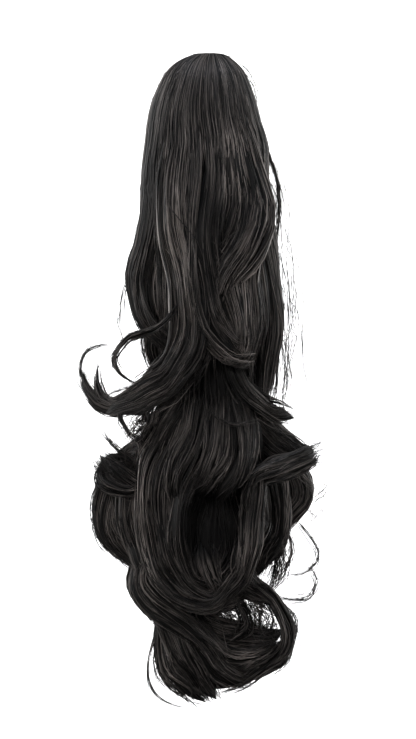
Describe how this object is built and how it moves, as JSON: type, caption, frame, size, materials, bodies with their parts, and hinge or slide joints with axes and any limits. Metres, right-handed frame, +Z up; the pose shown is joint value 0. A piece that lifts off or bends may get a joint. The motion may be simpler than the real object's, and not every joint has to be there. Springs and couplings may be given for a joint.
{
  "type": "ponytail hairpiece",
  "caption": "Long wavy black ponytail hairpiece: layered wefts of hair fall from a smooth crown over a hidden claw clip that grips the wearer's own ponytail.",
  "frame": {"origin": "middle of the claw clip's grip, on the clip's long axis, where the wearer's own ponytail is held", "axes": "+Z up, against the fall of the hair; +Y towards the wearer's head, out of the clip's mouth; -Y the outer side of the hair, which the picture shows; +X to the right seen from the outer side"},
  "size_m": [0.2095, 0.0899, 0.5595],
  "materials": {
    "hair_fibre": "satin",
    "clip_plastic": "gloss"
  },
  "bodies": {
    "root": {"claw_clip": "clip_plastic", "short_weft": "hair_fibre", "middle_weft": "hair_fibre", "long_weft": "hair_fibre"}
  },
  "joints": []
}
